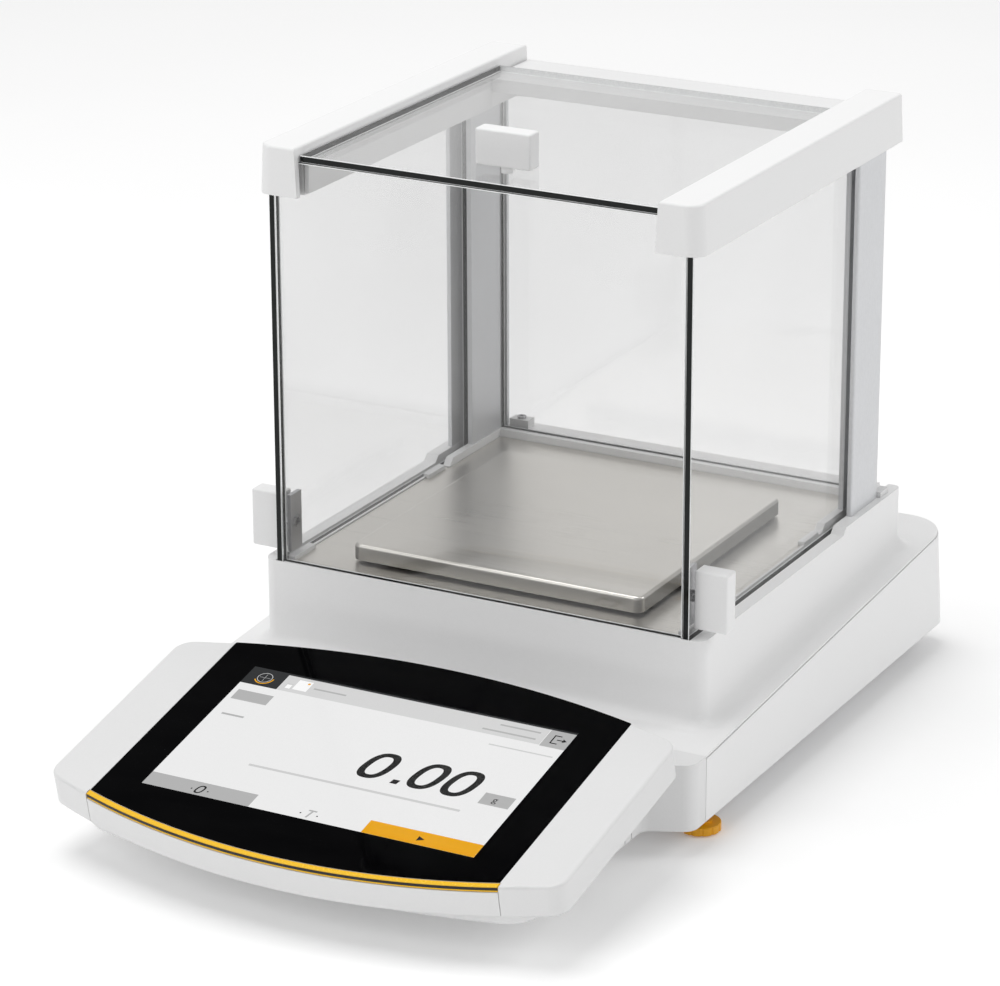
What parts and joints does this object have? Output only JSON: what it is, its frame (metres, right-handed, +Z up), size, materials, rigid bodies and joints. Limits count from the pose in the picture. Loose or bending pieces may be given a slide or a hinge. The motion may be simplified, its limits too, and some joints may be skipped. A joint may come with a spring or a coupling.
{
  "type": "precision balance",
  "caption": "Top-loading precision balance with a square pan, glass draft shield with sliding side and top doors, and a tilting touch screen unit.",
  "frame": {"origin": "centre of the footprint, on the table", "axes": "+X to the user's right, +Y to the back, +Z up"},
  "size_m": [0.24, 0.4161, 0.2835],
  "materials": {
    "white_plastic": "fine satin moulding",
    "light_grey_plastic": "fine satin moulding",
    "grey_plastic": "satin extrusion",
    "amber_plastic": "satin",
    "black_plastic": "fine texture",
    "clear_glass": "polished, dark polished edges",
    "black_glass": "polished black cover glass",
    "screen": "backlit colour screen",
    "stainless_steel": "brushed",
    "post_aluminium": "satin anodised",
    "aluminium": "machined",
    "screw_steel": "turned",
    "magnet_iron": "nickel plated",
    "circuit_board": "solder mask",
    "rubber": "matt"
  },
  "bodies": {
    "base": {"upper_housing": "white_plastic", "rear_panel": "white_plastic", "side_panel_left": "white_plastic", "side_panel_right": "white_plastic", "rail_cover_left": "white_plastic", "rail_cover_right": "white_plastic", "front_cap": "light_grey_plastic", "door_track_left": "grey_plastic", "door_track_right": "grey_plastic", "glass_ledge_left": "grey_plastic", "glass_ledge_right": "grey_plastic", "rear_crossbar": "grey_plastic", "door_guides": "grey_plastic", "glass_brackets": "grey_plastic", "dust_collar": "grey_plastic", "power_jack": "black_plastic", "data_port": "black_plastic", "front_glass": "clear_glass", "rear_glass": "clear_glass", "chamber_floor": "stainless_steel", "rear_post_left": "post_aluminium", "rear_post_right": "post_aluminium", "post_cover_left": "post_aluminium", "post_cover_right": "post_aluminium", "base_plate": "aluminium", "weigh_cell": "aluminium", "load_receiver": "aluminium", "adjustment_drive": "aluminium", "cover_screws": "screw_steel", "hinge_pins": "screw_steel", "magnet_system": "magnet_iron", "main_board": "circuit_board", "rear_feet": "rubber"},
    "door_left": {"door_glass_left": "clear_glass", "door_handle_left": "white_plastic", "door_clamp_left": "aluminium", "door_screw_left": "screw_steel"},
    "door_right": {"door_glass_right": "clear_glass", "door_handle_right": "white_plastic", "door_clamp_right": "aluminium", "door_screw_right": "screw_steel"},
    "top_door": {"top_door_glass": "clear_glass", "top_door_handle": "white_plastic"},
    "pan": {"weighing_pan": "stainless_steel", "pan_support": "aluminium"},
    "control_unit": {"display_housing": "light_grey_plastic", "display_glass": "black_glass", "screen_panel": "screen", "front_trim": "light_grey_plastic", "accent_strip": "amber_plastic", "display_board": "circuit_board", "display_under_shell": "light_grey_plastic"},
    "adjustment_weight": {"adjustment_weight": "screw_steel"},
    "foot_pad_left": {"foot_pad_left": "rubber"},
    "foot_pad_right": {"foot_pad_right": "rubber"},
    "foot_knob_left": {"foot_knob_left": "amber_plastic"},
    "foot_knob_right": {"foot_knob_right": "amber_plastic"}
  },
  "joints": [
    {"name": "door_left_slide", "type": "slide", "parent": "base", "child": "door_left", "axis": [0, 1, 0], "range_m": [0, 0.145]},
    {"name": "door_right_slide", "type": "slide", "parent": "base", "child": "door_right", "axis": [0, 1, 0], "range_m": [0, 0.145]},
    {"name": "top_door_slide", "type": "slide", "parent": "base", "child": "top_door", "axis": [0, 1, 0], "range_m": [0, 0.133]},
    {"name": "pan_lift", "type": "slide", "parent": "base", "child": "pan", "axis": [0, 0, 1], "range_m": [0, 0.06]},
    {"name": "control_unit_tilt", "type": "hinge", "parent": "base", "child": "control_unit", "pos_m": [0, -0.10325, 0.024], "axis": [1, 0, 0], "range_deg": [-5, 6]},
    {"name": "adjustment_weight_lower", "type": "slide", "parent": "base", "child": "adjustment_weight", "axis": [0, 0, -1], "range_m": [0, 0.004]},
    {"name": "foot_left_height", "type": "slide", "parent": "base", "child": "foot_pad_left", "axis": [0, 0, 1], "range_m": [-0.005, 0.004]},
    {"name": "foot_left_turn", "type": "hinge", "parent": "foot_pad_left", "child": "foot_knob_left", "pos_m": [-0.1102, -0.03945, 0.002], "axis": [0, 0, 1], "range_deg": [-1805, 1445]},
    {"name": "foot_right_height", "type": "slide", "parent": "base", "child": "foot_pad_right", "axis": [0, 0, 1], "range_m": [-0.005, 0.004]},
    {"name": "foot_right_turn", "type": "hinge", "parent": "foot_pad_right", "child": "foot_knob_right", "pos_m": [0.1102, -0.03945, 0.002], "axis": [0, 0, 1], "range_deg": [-1805, 1445]}
  ],
  "couplings": [
    {"joint": "foot_left_turn", "follows": "foot_left_height", "rad_per_m": 6283.2},
    {"joint": "foot_right_turn", "follows": "foot_right_height", "rad_per_m": 6283.2}
  ]
}
